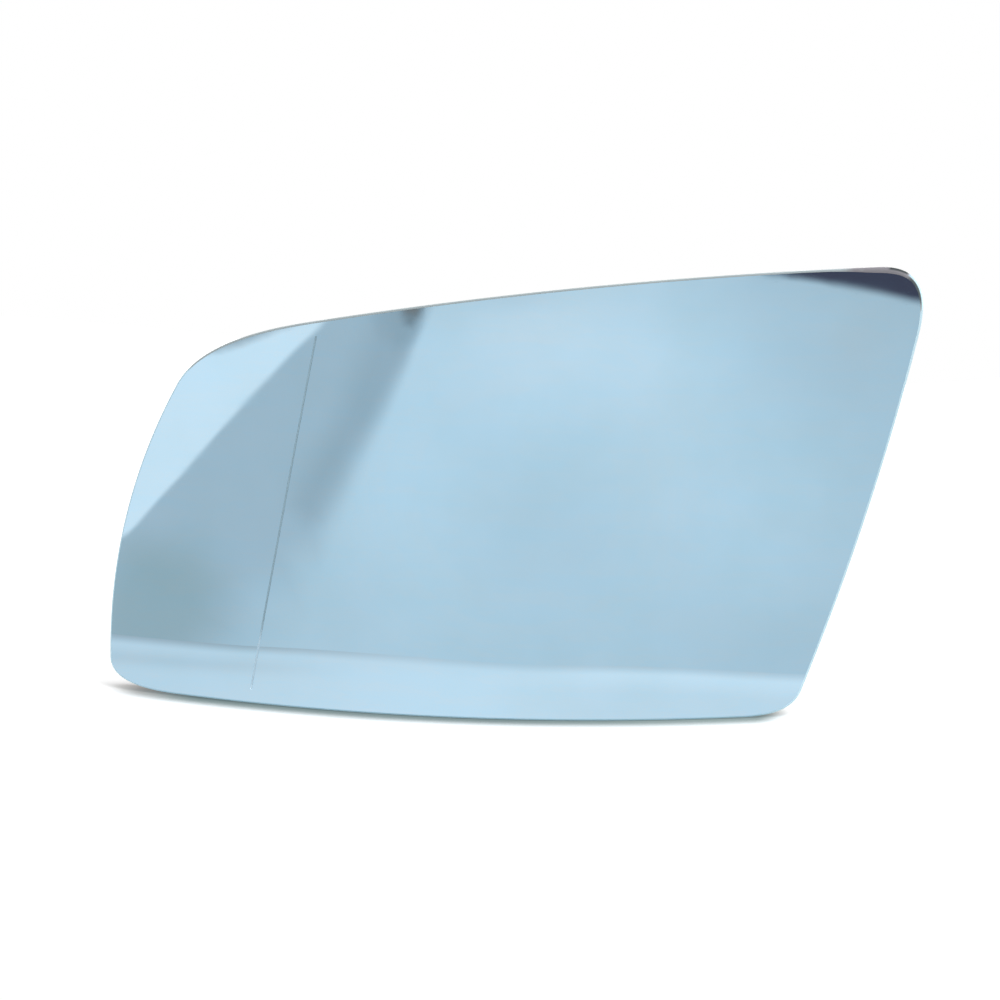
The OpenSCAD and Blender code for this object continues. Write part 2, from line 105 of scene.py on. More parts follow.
# Tones of the edge, which are painted shade and light: 0 is plain, at 1 it is painted near black as shade,
# and below 0 it is painted brighter as a highlight
TOP_PAINTED_SHADE = 0.36
TOP_OUTSIDE_PAINTED_SHADE = 0.16
CORNER_PAINTED_SHADE = 0.92
SHOULDER_PAINTED_SHADE = 0.84
SHOULDER_PAINTED_HIGHLIGHT = -0.6

# Where the photograph was taken from

VIEW_AZIMUTH = math.radians(9)
VIEW_ELEVATION = math.radians(8)
VIEW_DISTANCE = 800
FACE_CENTRE = Vector((0, -STANDOFF, 0))
# Pixel at which the middle of the face appears, in an image 1000 pixels wide
CENTRE_PIXEL = (517, 494)
IMAGE_W = 1000
FOCAL_PIXELS = 3496
SENSOR_W = 36

BACK = Vector((math.sin(VIEW_AZIMUTH) * math.cos(VIEW_ELEVATION),
               -math.cos(VIEW_AZIMUTH) * math.cos(VIEW_ELEVATION), math.sin(VIEW_ELEVATION)))
RIGHT = Vector((math.cos(VIEW_AZIMUTH), math.sin(VIEW_AZIMUTH), 0))
UP = BACK.cross(RIGHT)
EYE = FACE_CENTRE + BACK * VIEW_DISTANCE


# The outline of the glass

def edge_arc(i):
    """Centre, radius, start and end angle of edge i, which is travelled clockwise."""
    a, b = Vector(CORNERS[i]), Vector(CORNERS[(i + 1) % 4])
    chord = b - a
    radius = ((chord.length / 2) ** 2 + BULGES[i] ** 2) / (2 * BULGES[i])
    d = chord.normalized()
    centre = (a + b) / 2 - Vector((-d.y, d.x)) * (radius - BULGES[i])
    start = math.atan2(a.y - centre.y, a.x - centre.x)
    return centre, radius, start, start - 2 * math.asin(chord.length / (2 * radius))


def on_edge(i, angle):
    """Point and direction of travel on edge i."""
    centre, radius, _, _ = edge_arc(i)
    out = Vector((math.cos(angle), math.sin(angle)))
    return centre + radius * out, Vector((out.y, -out.x))


def leave_angle(i):
    """Angle on edge i at which the corner before it ends."""
    _, radius, start, _ = edge_arc(i)
    return start - LEADS_OUT[i] / radius


def arrive_angle(i):
    """Angle on edge i at which the corner after it starts."""
    _, radius, _, end = edge_arc(i)
    return end + LEADS_IN[(i + 1) % 4] / radius


def corner_blend(i, steps):
    """Parabolic corner, tangent to both of its edges."""
    a, ta = on_edge(i - 1 if i else 3, arrive_angle(i - 1 if i else 3))
    b, tb = on_edge(i, leave_angle(i))
    m = a + ta * ((b - a).cross(tb) / ta.cross(tb))
    run = []
    for k in range(steps + 1):
        w = k / steps
        d = (1 - w) * (m - a) + w * (b - m)
        run.append(((1 - w) ** 2 * a + 2 * w * (1 - w) * m + w ** 2 * b, d.normalized()))
    return run


def outline_run(edge_step=1.3, corner_steps=26):
    """Points of the outline, each with its direction of travel."""
    run = []
    for i in range(4):
        run += corner_blend(i, corner_steps)
        _, radius, _, _ = edge_arc(i)
        start, end = leave_angle(i), arrive_angle(i)
        n = round((start - end) * radius / edge_step)
        run += [on_edge(i, start + (end - start) * k / n) for k in range(1, n)]
    return run


OUTLINE = outline_run()


def outline(inset):
    """Points round the glass, clockwise as seen from the front, moved inwards by inset."""
    return [p + inset * Vector((t.y, -t.x)) for p, t in OUTLINE]


def ground_line(share, margin=0):
    """The outline moved inwards by a share of the ground edge's own width, and by a margin."""
    points = []
    for p, t in OUTLINE:
        off = (p - Vector(WIDE_CORNER)).length / WIDE_REACH
        width = EDGE_BULGE + WIDE_BULGE * math.exp(-off * off / 2)
        points.append(p + (width * share + margin) * Vector((t.y, -t.x)))
    return points


def inside(p, loop):
    """Whether a point lies within a closed loop of points."""
    within = False
    for a, b in zip(loop, loop[1:] + loop[:1]):
        if (a.y > p.y) != (b.y > p.y) and p.x < a.x + (b.x - a.x) * (p.y - a.y) / (b.y - a.y):
            within = not within
    return within


# The curvature of the face

def face_fall(x, z):
    """How far the face lies behind its middle, in mm."""
    u = x * math.cos(LINE_SLANT) - z * math.sin(LINE_SLANT)
    v = x * math.sin(LINE_SLANT) + z * math.cos(LINE_SLANT)
    beyond = max(0, LINE_X * math.cos(LINE_SLANT) - u)
    turned_r = math.sqrt(MAIN_R ** 2 - u ** 2) - OUTER_GAIN * beyond ** 3
    return MAIN_R - math.sqrt(turned_r ** 2 - v ** 2)


def face_normal(x, z, step=0.01):
    slope_x = (face_fall(x + step, z) - face_fall(x - step, z)) / (2 * step)
    slope_z = (face_fall(x, z + step) - face_fall(x, z - step)) / (2 * step)
    return Vector((slope_x, -1, slope_z)).normalized()


def mirrored_sight(pixel, distance):
    """Point at a distance ahead of the glass that a pixel of the photograph shows in the mirror, in mm."""
    ray = (RIGHT * (pixel[0] - CENTRE_PIXEL[0]) - UP * (pixel[1] - CENTRE_PIXEL[1])) / FOCAL_PIXELS - BACK
    p = EYE + ray * (-STANDOFF - EYE.y) / ray.y
    rounds = 12
    for _ in range(rounds):
        p += ray * (face_fall(p.x, p.z) - STANDOFF - p.y) / ray.y
    n = face_normal(p.x, p.z)
    away = ray - 2 * ray.dot(n) * n
    return p + away * (-distance - p.y) / away.y


# Writing node trees

class Tree:
    """Short words for placing and linking the nodes of one tree."""

    def __init__(self, tree):
        self.nodes, self.links = tree.nodes, tree.links

    def set(self, socket, value):
        if isinstance(value, bpy.types.NodeSocket):
            self.links.new(value, socket)
        else:
            socket.default_value = value

    def node(self, kind, inputs=None, **settings):
        n = self.nodes.new(kind)
        for name, value in settings.items():
            setattr(n, name, value)
        for key, value in (inputs or {}).items():
            self.set(n.inputs[key], value)
        return n

    def maths(self, operation, *values):
        n = self.nodes.new("ShaderNodeMath")
        n.operation = operation
        for socket, value in zip(n.inputs, values):
            self.set(socket, value)
        return n.outputs[0]

    def ramp(self, value, low, high, to_low=0.0, to_high=1.0, smooth=True):
        n = self.node("ShaderNodeMapRange", {"Value": value, "From Min": low, "From Max": high,
                                             "To Min": to_low, "To Max": to_high})
        n.interpolation_type = "SMOOTHSTEP" if smooth else "LINEAR"
        return n.outputs["Result"]

    def blend(self, factor, a, b):
        """Mix of two colours."""
        n = self.node("ShaderNodeMix", data_type="RGBA")
        self.set(n.inputs["Factor"], factor)
        self.set(n.inputs[6], a)
        self.set(n.inputs[7], b)
        return n.outputs[2]

    def noise(self, coordinates, scale, detail=2.0, roughness=0.5):
        n = self.node("ShaderNodeTexNoise", {"Vector": coordinates, "Scale": scale, "Detail": detail,
                                             "Roughness": roughness})
        return n.outputs["Fac"]

    def bump(self, height, distance, strength=1.0, normal=None):
        n = self.node("ShaderNodeBump", {"Height": height, "Distance": distance, "Strength": strength})
        if normal:
            self.links.new(normal, n.inputs["Normal"])
        return n.outputs["Normal"]

    def stretched(self, coordinates, scale, turn=(0, 0, 0)):
        n = self.node("ShaderNodeMapping", {"Vector": coordinates, "Scale": scale, "Rotation": turn})
        return n.outputs[0]

    def emission(self, colour, strength):
        return self.node("ShaderNodeEmission", {"Color": colour, "Strength": strength}).outputs[0]

    def mixed(self, factor, a, b):
        """Mix of two shaders."""
        return self.node("ShaderNodeMixShader", {0: factor, 1: a, 2: b}).outputs[0]

    def attribute(self, name, data_type="FLOAT"):
        """An attribute of the mesh, in a Geometry Nodes tree."""
        n = self.node("GeometryNodeInputNamedAttribute", {"Name": name}, data_type=data_type)
        return n.outputs["Attribute"]


def bare_finish(name):
    """A material with no shader yet, its tree and the socket that takes its surface."""
    material = bpy.data.materials.new(name)
    material.use_nodes = True
    tree = Tree(material.node_tree)
    tree.nodes.remove(tree.nodes["Principled BSDF"])
    return material, tree, tree.nodes["Material Output"].inputs["Surface"]


def new_finish(name):
    """A material with a Principled shader, its tree and its Object coordinates."""
    material = bpy.data.materials.new(name)
    material.use_nodes = True
    tree = Tree(material.node_tree)
    shader = material.node_tree.nodes["Principled BSDF"]
    place = tree.node("ShaderNodeTexCoord").outputs["Object"]
    return material, tree, shader, place


def grey(value, alpha=1.0):
    return (value, value, value, alpha)


# Finishes of the glass

def mirror_face_finish():
    """Blue-tinted reflecting coat under clear glass, with the slight unevenness of handled glass."""
    material, tree, shader, place = new_finish("mirror_face")
    coat_blue = (0.521, 0.765, 0.941, 1)
    coat_grey = (0.501, 0.745, 0.91, 1)
    cloud = tree.ramp(tree.noise(place, 45, 3.0), 0.35, 0.7)
    tree.set(shader.inputs["Base Color"], tree.blend(cloud, coat_blue, coat_grey))
    shader.inputs["Metallic"].default_value = 1.0
    wiped = tree.noise(tree.stretched(place, (40, 40, 260), (0, 0.6, 0)), 1.0, 4.0, 0.6)
    speck = tree.ramp(tree.noise(place, 2600, 1.0), 0.72, 0.8)
    rough = tree.maths("ADD", tree.ramp(wiped, 0.35, 0.75, 0.012, 0.03), tree.maths("MULTIPLY", speck, 0.05))
    tree.set(shader.inputs["Roughness"], rough)
    shader.inputs["Coat Weight"].default_value = 0.6
    shader.inputs["Coat Roughness"].default_value = 0.01
    shader.inputs["Coat IOR"].default_value = 1.52
    float_wave = tree.noise(place, 22, 1.0)
    tree.set(shader.inputs["Normal"], tree.bump(float_wave, 2e-6))
    return material


def ground_edge_finish():
    """Frosted glass edge with the marks of the grinding belt. Its tone attribute holds painted light and
    shade. Towards 1 it is painted near black as shade; at 0 a painted cyan glow brightens it, and below 0
    more so, as a painted highlight."""
    material, tree, shader, place = new_finish("ground_edge")
    grain = tree.noise(place, 5200, 3.0, 0.65)
    chips = tree.ramp(tree.noise(place, 900, 2.0), 0.62, 0.74)
    frosted = tree.blend(tree.ramp(grain, 0.3, 0.7), (0.61, 0.73, 0.77, 1), (0.7, 0.81, 0.84, 1))
    corner = tuple(size * MM for size in SHADE_GREY_CORNER)
    off_corner = tree.node("ShaderNodeVectorMath", {0: place, 1: corner}, operation="DISTANCE")
    near_shaded_corner = tree.ramp(off_corner.outputs["Value"], SHADE_GREY_REACH[1] * MM, SHADE_GREY_REACH[0] * MM)
    # Painted shade: the edge is a darker, pinkish grey round the upper inner corner
    frosted = tree.blend(near_shaded_corner, frosted, (0.4, 0.375, 0.42, 1))
    shown = tree.blend(tree.maths("MULTIPLY", chips, 0.3), frosted, (0.74, 0.82, 0.84, 1))
    tone = tree.node("ShaderNodeAttribute", attribute_name="tone").outputs["Fac"]
    # Painted shade: the tone blends the edge towards near black
    tree.set(shader.inputs["Base Color"], tree.blend(tone, shown, (0.045, 0.065, 0.065, 1)))
    tree.set(shader.inputs["Roughness"], tree.ramp(grain, 0.2, 0.8, 0.38, 0.6))
    shader.inputs["IOR"].default_value = 1.52
    tree.set(shader.inputs["Specular IOR Level"], tree.ramp(tone, 0.35, 0.8, 0.5, 0.05))
    # Painted glow: the edge emits cyan light where its tone is 0 or below
    shader.inputs["Emission Color"].default_value = (0.32, 0.75, 1.0, 1)
    tree.set(shader.inputs["Emission Strength"], tree.maths("ADD", tree.ramp(tone, 0.0, 0.1, 0.28, 0.0),
                                                            tree.ramp(tone, SHOULDER_PAINTED_HIGHLIGHT, 0.0, 0.35, 0.0)))
    tree.set(shader.inputs["Normal"], tree.bump(grain, 2.5e-5, 0.5))
    return material


def etched_line_finish():
    """Matt floor of the engraved dividing line, through which the coat shows. It is painted lighter at its
    foot, a painted reflection of the bright sheet that the glass mirrors there.
    """
    material, tree, shader, place = new_finish("etched_line")
    grain = tree.noise(place, 9000, 2.0, 0.7)
    matt = tree.blend(tree.ramp(grain, 0.3, 0.7), (0.295, 0.42, 0.49, 1), (0.35, 0.49, 0.57, 1))
    up = tree.node("ShaderNodeSeparateXYZ", {0: place}).outputs["Z"]
    # Painted reflection: the line is lighter at its foot, where the glass mirrors the bright sheet
    foot_reflection = tree.ramp(up, -0.031, -0.037)
    tree.set(shader.inputs["Base Color"], tree.blend(foot_reflection, matt, (0.53, 0.69, 0.8, 1)))
    shader.inputs["Metallic"].default_value = 0.85
    tree.set(shader.inputs["Roughness"], tree.ramp(grain, 0.3, 0.7, 0.45, 0.6))
    tree.set(shader.inputs["Normal"], tree.bump(grain, 1.2e-5, 0.5))
    return material


def backing_paint_finish():
    """Dark sprayed paint that protects the back of the glass."""
    material, tree, shader, place = new_finish("backing_paint")
    mist = tree.noise(place, 1500, 3.0, 0.6)
    tree.set(shader.inputs["Base Color"], tree.blend(mist, (0.03, 0.033, 0.037, 1), (0.055, 0.06, 0.066, 1)))
    tree.set(shader.inputs["Roughness"], tree.ramp(mist, 0.2, 0.8, 0.42, 0.62))
    tree.set(shader.inputs["Normal"], tree.bump(mist, 2e-5, 0.5))
    return material


# The glass

FACE, LINE, EDGE, REAR = 0, 1, 2, 3


def filling_points(loop, spacing, keep_off=None):
    """Even points within a loop that stay clear of its edge, and of whatever keep_off names."""
    xs, ys = [p.x for p in loop], [p.y for p in loop]
    points = []
    row = 0
    row_share = 0.866
    y = min(ys)
    while y < max(ys):
        x = min(xs) + (spacing / 2 if row % 2 else 0)
        while x < max(xs):
            p = Vector((x, y))
            if not (keep_off and keep_off(p)) and inside(p, loop):
                points.append(p)
            x += spacing
        y += spacing * row_share
        row += 1
    return points


def line_ends():
    """The two ends of the dividing line, which stop short of the edge of the glass."""
    foot = Vector((LINE_X, 0))
    up = Vector((math.sin(LINE_SLANT), math.cos(LINE_SLANT)))
    loop = outline(LINE_MARGIN)
    reach = []
    for side in (1, -1):
        d = up * side
        for a, b in zip(loop, loop[1:] + loop[:1]):
            e = b - a
            cross = d.cross(e)
            if abs(cross) < 1e-9:
                continue
            t, s = (a - foot).cross(e) / cross, (a - foot).cross(d) / cross
            if t > 0 and 0 <= s < 1:
                reach.append(foot + d * t)
                break
    return reach


def smooth_share(value, low, high):
    """0 below low, 1 above high, and a smooth rise between them."""
    s = min(1, max(0, (value - low) / (high - low)))
    return s * s * (3 - 2 * s)


def strip_loop(a, b, half_w, spacing):
    """Outline of a narrow strip from a to b, with points along its long sides."""
    d = (b - a).normalized()
    n = Vector((-d.y, d.x)) * half_w
    steps = round((b - a).length / spacing)
    there = [a + (b - a) * k / steps + n for k in range(steps + 1)]
    back = [b + (a - b) * k / steps - n for k in range(steps + 1)]
    return there + back


def triangulated(loops, loose):
    """Triangles within the first loop whose edges keep to all the loops. The loops' points come first."""
    points, edges = [], []
    for loop in loops:
        first = len(points)
        points += loop
        edges += [(first + k, first + (k + 1) % len(loop)) for k in range(len(loop))]
    out_points, _, faces, origin, _, _ = geometry.delaunay_2d_cdt(points + loose, edges, [], 1, 1e-6)
    place = {}
    for new, olds in enumerate(origin):
        for old in olds:
            place[old] = new
    return out_points, faces, place


def edge_light_and_shade(k, a):
    """Painted shade and light of the ground edge at point k of the outline, at an angle from 0 at the face to
    pi at the rear.
    """
    p, d = OUTLINE[k]
    off_corner, off_shoulder = ((p - Vector(c)).length for c in (DARK_CORNER, SHOULDER))
    outside = 1.0 if a > math.pi / 2 else smooth_share(math.sin(a), 0.5, 0.8)
    on_top = smooth_share(d.x, 0.65, 0.92) * (TOP_PAINTED_SHADE + (TOP_OUTSIDE_PAINTED_SHADE - TOP_PAINTED_SHADE) * outside)
    dark_line = outside * (1 - smooth_share(off_corner, *DARK_CORNER_REACH))
    dark_inside = (1 - outside) * (1 - smooth_share(off_shoulder, *DARK_SHOULDER_REACH))
    bright = (1 - dark_line) * outside * (1 - smooth_share(off_shoulder, *BRIGHT_SHOULDER_REACH))
    dark = max(on_top, CORNER_PAINTED_SHADE * dark_line, SHOULDER_PAINTED_SHADE * dark_inside)
    return dark + SHOULDER_PAINTED_HIGHLIGHT * bright


def flat_glass():
    """The glass laid flat: across and up in X and Z, with its depth and finish as attributes."""
    spacing = 1.25
    rim = ground_line(1)
    top, foot = line_ends()
    slope = 0.06
    d = (top - foot).normalized()
    mouth = strip_loop(foot, top, LINE_W / 2, spacing)
    floor = strip_loop(foot + d * slope, top - d * slope, LINE_W / 2 - slope, spacing)
    side = Vector((-d.y, d.x))

    def near_line_or_rim(p):
        off = p - foot
        near_line = abs(off.dot(side)) < LINE_W and -spacing < off.dot(d) < (top - foot).length + spacing
        return near_line or not inside(p, clear_of_rim)

    clear_of_rim = ground_line(1, spacing * 0.6)
    points, faces, place = triangulated([rim, mouth, floor], filling_points(rim, spacing, near_line_or_rim))

    mesh = bmesh.new()
    depth = mesh.verts.layers.float.new("depth")
    tone = mesh.verts.layers.float.new("tone")
    finish = mesh.faces.layers.int.new("finish")
    floor_ids = {place[k] for k in range(len(rim) + len(mouth), len(rim) + len(mouth) + len(floor))}
    mouth_ids = {place[k] for k in range(len(rim), len(rim) + len(mouth))}

    def add_point(p, at_depth):
        v = mesh.verts.new((p.x * MM, 0, p.y * MM))
        v[depth] = at_depth * MM
        return v

    def add_face(corners, kind):
        f = mesh.faces.new(corners)
        f[finish] = kind
        f.smooth = True

    front = [add_point(p, LINE_DEPTH if k in floor_ids else 0) for k, p in enumerate(points)]
    for ids in faces:
        in_line = all(k in floor_ids or k in mouth_ids for k in ids)
        add_face([front[k] for k in ids], LINE if in_line else FACE)

    edge_rows = 12
    rear_spacing = 4
    ring = [front[place[k]] for k in range(len(rim))]
    # Each point of the edge gets its painted shade and light in the tone layer
    for k, v in enumerate(ring):
        v[tone] = edge_light_and_shade(k, 0)
    for row in range(1, edge_rows + 1):
        a = math.pi * row / edge_rows
        row_depth = GLASS_T / 2 * (1 - math.cos(a))
        if row < edge_rows:
            next_ring = [add_point(p, row_depth) for p in ground_line(1 - math.sin(a))]
            for k, v in enumerate(next_ring):
                v[tone] = edge_light_and_shade(k, a)
        else:
            filling = filling_points(rim, rear_spacing, lambda p: not inside(p, clear_of_rim))
            rear_points, rear_faces, rear_place = triangulated([rim], filling)
            rear = [add_point(p, GLASS_T) for p in rear_points]
            next_ring = [rear[rear_place[k]] for k in range(len(rim))]
            for ids in rear_faces:
                add_face([rear[k] for k in ids], REAR)
        for k in range(len(ring)):
            m = (k + 1) % len(ring)
            add_face([ring[k], ring[m], next_ring[m], next_ring[k]], EDGE)
        ring = next_ring

    bmesh.ops.recalc_face_normals(mesh, faces=mesh.faces)
    for e in mesh.edges:
        if len({f[finish] for f in e.link_faces}) > 1:
            e.smooth = False
    data = bpy.data.meshes.new("flat_glass")
    mesh.to_mesh(data)
    mesh.free()
    return data


def tree_input(tree, name, kind, value=None):
    socket = tree.interface.new_socket(name, in_out="INPUT", socket_type=kind)
    if value is not None:
        socket.default_value = value
    return socket.identifier


def glass_curvature_tree():
    """Gives a flat sheet the curvature of the mirror: a sphere that falls away beyond the dividing line."""
    group = bpy.data.node_groups.new("glass_curvature", "GeometryNodeTree")
    ids = {"geometry": tree_input(group, "Geometry", "NodeSocketGeometry")}
    sizes = {"Main radius": MAIN_R * MM, "Outer gain": OUTER_GAIN / MM ** 2, "Line position": LINE_X * MM,
             "Line slant": LINE_SLANT, "Standoff": STANDOFF * MM}
    for name, value in sizes.items():
        ids[name] = tree_input(group, name, "NodeSocketFloat", value)
    finishes = ("Face finish", "Line finish", "Edge finish", "Rear finish")
    for name in finishes:
        ids[name] = tree_input(group, name, "NodeSocketMaterial")
    group.interface.new_socket("Geometry", in_out="OUTPUT", socket_type="NodeSocketGeometry")

    tree = Tree(group)
    given = tree.node("NodeGroupInput").outputs
    place = tree.node("ShaderNodeSeparateXYZ", {0: tree.node("GeometryNodeInputPosition").outputs[0]}).outputs
    depth = tree.attribute("depth")
    sine, cosine = tree.maths("SINE", given["Line slant"]), tree.maths("COSINE", given["Line slant"])

    def sum_of(a, b):
        return tree.maths("ADD", a, b)

    def less(a, b):
        return tree.maths("SUBTRACT", a, b)

    def times(a, b):
        return tree.maths("MULTIPLY", a, b)

    def fall(radius, reach):
        """Fall of a circle's rim at a reach from its middle, with no loss of precision."""
        square = times(reach, reach)
        root = tree.maths("SQRT", less(times(radius, radius), square))
        return tree.maths("DIVIDE", square, sum_of(radius, root))

    across = less(times(place["X"], cosine), times(place["Z"], sine))
    along = sum_of(times(place["X"], sine), times(place["Z"], cosine))
    beyond = tree.maths("MAXIMUM", 0.0, less(times(given["Line position"], cosine), across))
    outer_fall = times(given["Outer gain"], times(beyond, times(beyond, beyond)))
    radial_fall = sum_of(sum_of(fall(given["Main radius"], across), outer_fall), depth)
    turned_r = less(given["Main radius"], radial_fall)
    y = less(sum_of(radial_fall, fall(turned_r, along)), given["Standoff"])
    placed = tree.node("ShaderNodeCombineXYZ", {"X": place["X"], "Y": y, "Z": place["Z"]}).outputs[0]
    curved = tree.node("GeometryNodeSetPosition", {"Geometry": given["Geometry"], "Position": placed})
    shape = tree.node("GeometryNodeRealizeInstances", {"Geometry": curved.outputs[0]}).outputs[0]
    kind = tree.attribute("finish", "INT")
    for number, name in enumerate(finishes):
        chosen = tree.node("FunctionNodeCompare", data_type="INT", operation="EQUAL")
        tree.set(chosen.inputs[2], kind)
        chosen.inputs[3].default_value = number
        shape = tree.node("GeometryNodeSetMaterial", {"Geometry": shape, "Selection": chosen.outputs[0],
                                                      "Material": given[name]}).outputs[0]
    tree.node("NodeGroupOutput", {"Geometry": shape})
    return group, ids


def grown(name, data, group, inputs):
    """New object whose plain mesh is what a Geometry Nodes tree makes of the given mesh."""
    source = bpy.data.objects.new(name + "_source", data)
    bpy.context.scene.collection.objects.link(source)
    modifier = source.modifiers.new("grow", "NODES")
    modifier.node_group = group
    for identifier, value in inputs.items():
        modifier[identifier] = value
    evaluated = source.evaluated_get(bpy.context.evaluated_depsgraph_get())
    mesh = bpy.data.meshes.new_from_object(evaluated)
    source.modifiers.remove(modifier)
    bpy.data.objects.remove(source)
    return new_object(name, mesh)


def new_object(name, mesh):
    mesh.name = name
    piece = bpy.data.objects.new(name, mesh)
    bpy.context.scene.collection.objects.link(piece)
    return piece


def make_glass():
    group, ids = glass_curvature_tree()
    finishes = {"Face finish": mirror_face_finish(), "Line finish": etched_line_finish(),
                "Edge finish": ground_edge_finish(), "Rear finish": backing_paint_finish()}
    glass = grown("curved_glass", flat_glass(), group, {ids[name]: value for name, value in finishes.items()})
    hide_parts("mirror_glass")
    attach(glass, "root")
    return glass


# Finishes of the back

def black_plastic_finish():
    """Fine-grained black moulding. Flow marks run out from its collar, and its web has ejector marks."""
    material, tree, shader, place = new_finish("black_plastic")
    grain = tree.noise(place, 3800, 3.0, 0.65)
    xyz = tree.node("ShaderNodeSeparateXYZ", {0: place}).outputs
    radius = tree.maths("SQRT", tree.maths("ADD", tree.maths("MULTIPLY", xyz["X"], xyz["X"]),
                                           tree.maths("MULTIPLY", xyz["Z"], xyz["Z"])))
    turn = tree.maths("ARCTAN2", xyz["Z"], xyz["X"])
    polar = tree.node("ShaderNodeCombineXYZ", {"X": tree.maths("MULTIPLY", turn, 9.0),
                                               "Y": tree.maths("MULTIPLY", radius, 40.0)}).outputs[0]
    flow = tree.noise(polar, 1.4, 3.0)
    # One round ejector mark between each pair of ribs, on a ring outside the inner stiffening ring
    rib_turn, mark_ring, mark_r = math.radians(20), 0.0565, 0.0022
    within = tree.maths("SUBTRACT", tree.maths("PINGPONG", turn, rib_turn / 2), rib_turn / 2)
    sideways = tree.maths("MULTIPLY", within, mark_ring)
    outward = tree.maths("SUBTRACT", radius, mark_ring)
    from_mark = tree.maths("SQRT", tree.maths("ADD", tree.maths("MULTIPLY", sideways, sideways),
                                              tree.maths("MULTIPLY", outward, outward)))
    mark = tree.ramp(from_mark, mark_r, mark_r * 0.93)
    # Lighter random patches: partly wear, partly painted sheen
    wear_and_sheen = tree.ramp(tree.noise(place, 130, 4.0, 0.6), 0.5, 0.8)
    base = tree.blend(flow, (0.0135, 0.0135, 0.0145, 1), (0.022, 0.022, 0.0235, 1))
    rubbed_and_sheen = tree.maths("MULTIPLY", wear_and_sheen, 0.5)
    tree.set(shader.inputs["Base Color"], tree.blend(rubbed_and_sheen, base, (0.034, 0.034, 0.036, 1)))
    rough = tree.maths("ADD", tree.ramp(flow, 0.3, 0.7, 0.4, 0.5), tree.maths("MULTIPLY", mark, -0.12))
    tree.set(shader.inputs["Roughness"], rough)
    shader.inputs["Specular IOR Level"].default_value = 0.42
    sunk = tree.bump(tree.maths("SUBTRACT", 1.0, mark), 8e-5)
    tree.set(shader.inputs["Normal"], tree.bump(grain, 2.2e-5, 0.55, sunk))
    return material


def spring_steel_finish():
    """Drawn wire, bright with fine lengthwise lines."""
    material, tree, shader, place = new_finish("spring_steel")
    lines = tree.noise(tree.stretched(place, (1, 14, 1)), 420, 3.0, 0.6)
    stain = tree.ramp(tree.noise(place, 160, 3.0), 0.5, 0.75)
    tree.set(shader.inputs["Base Color"], tree.blend(stain, (0.6, 0.6, 0.615, 1), (0.45, 0.44, 0.43, 1)))
    shader.inputs["Metallic"].default_value = 1.0
    tree.set(shader.inputs["Roughness"], tree.ramp(lines, 0.3, 0.7, 0.22, 0.4))
    tree.set(shader.inputs["Normal"], tree.bump(lines, 1e-5, 0.5))
    return material


def tinned_brass_finish():
    """Tinned strip, slightly cloudy, with stamping lines across it."""
    material, tree, shader, place = new_finish("tinned_brass")
    cloud = tree.ramp(tree.noise(place, 320, 4.0, 0.6), 0.35, 0.7)
    strokes = tree.noise(tree.stretched(place, (1, 0.12, 1)), 3200, 2.0)
    tree.set(shader.inputs["Base Color"], tree.blend(cloud, (0.73, 0.71, 0.66, 1), (0.6, 0.57, 0.49, 1)))
    shader.inputs["Metallic"].default_value = 1.0
    tree.set(shader.inputs["Roughness"], tree.maths("ADD", tree.ramp(cloud, 0, 1, 0.24, 0.36),
                                                    tree.maths("MULTIPLY", strokes, 0.08)))
    tree.set(shader.inputs["Normal"], tree.bump(strokes, 8e-6, 0.5))
    return material


def rivet_brass_finish():
    """Bright brass eyelets with the faint ridges of the closing punch."""
    material, tree, shader, place = new_finish("rivet_brass")
    tarnish = tree.ramp(tree.noise(place, 700, 3.0), 0.4, 0.75)
    tree.set(shader.inputs["Base Color"], tree.blend(tarnish, (0.72, 0.53, 0.25, 1), (0.5, 0.34, 0.15, 1)))
    shader.inputs["Metallic"].default_value = 1.0
    ridges = tree.noise(place, 5200, 2.0)
    tree.set(shader.inputs["Roughness"], tree.ramp(ridges, 0.3, 0.7, 0.25, 0.42))
    tree.set(shader.inputs["Normal"], tree.bump(ridges, 1e-5, 0.5))
    return material


def heater_film_finish():
    """Dark film with printed conductor tracks, and a bright contact pad under each terminal."""
    material, tree, shader, place = new_finish("heater_film")
    xyz = tree.node("ShaderNodeSeparateXYZ", {0: place}).outputs
    track_pitch, track_w = 0.0036, 0.0011
    from_track = tree.maths("PINGPONG", xyz["Z"], track_pitch / 2)
    track = tree.ramp(from_track, track_w / 2 + 1e-4, track_w / 2)
    upward = tree.maths("SUBTRACT", tree.maths("ABSOLUTE", xyz["Z"]), TERMINAL_Z * MM)
    sideways = tree.maths("SUBTRACT", xyz["X"], TERMINAL_X * MM)
    pad_half_l, pad_half_w = (TERMINAL_BASE_L / 2 + 0.8) * MM, (TERMINAL_BLADE_W / 2 + 0.6) * MM
    off_pad = tree.maths("MAXIMUM", tree.maths("SUBTRACT", tree.maths("ABSOLUTE", sideways), pad_half_l),
                         tree.maths("SUBTRACT", tree.maths("ABSOLUTE", upward), pad_half_w))
    pad = tree.ramp(off_pad, 1e-4, 0.0)
    printed = tree.maths("MAXIMUM", track, pad)
    grain = tree.noise(place, 4200, 2.0)
    silver = tree.blend(grain, (0.32, 0.32, 0.33, 1), (0.46, 0.46, 0.47, 1))
    film = tree.blend(grain, (0.035, 0.038, 0.045, 1), (0.055, 0.06, 0.07, 1))
    tree.set(shader.inputs["Base Color"], tree.blend(printed, film, silver))
    tree.set(shader.inputs["Metallic"], tree.maths("MULTIPLY", printed, 0.7))
    tree.set(shader.inputs["Roughness"], tree.ramp(printed, 0, 1, 0.34, 0.5))
    tree.set(shader.inputs["Normal"], tree.bump(printed, 2.5e-5, 1.0, tree.bump(grain, 8e-6, 0.5)))
    return material


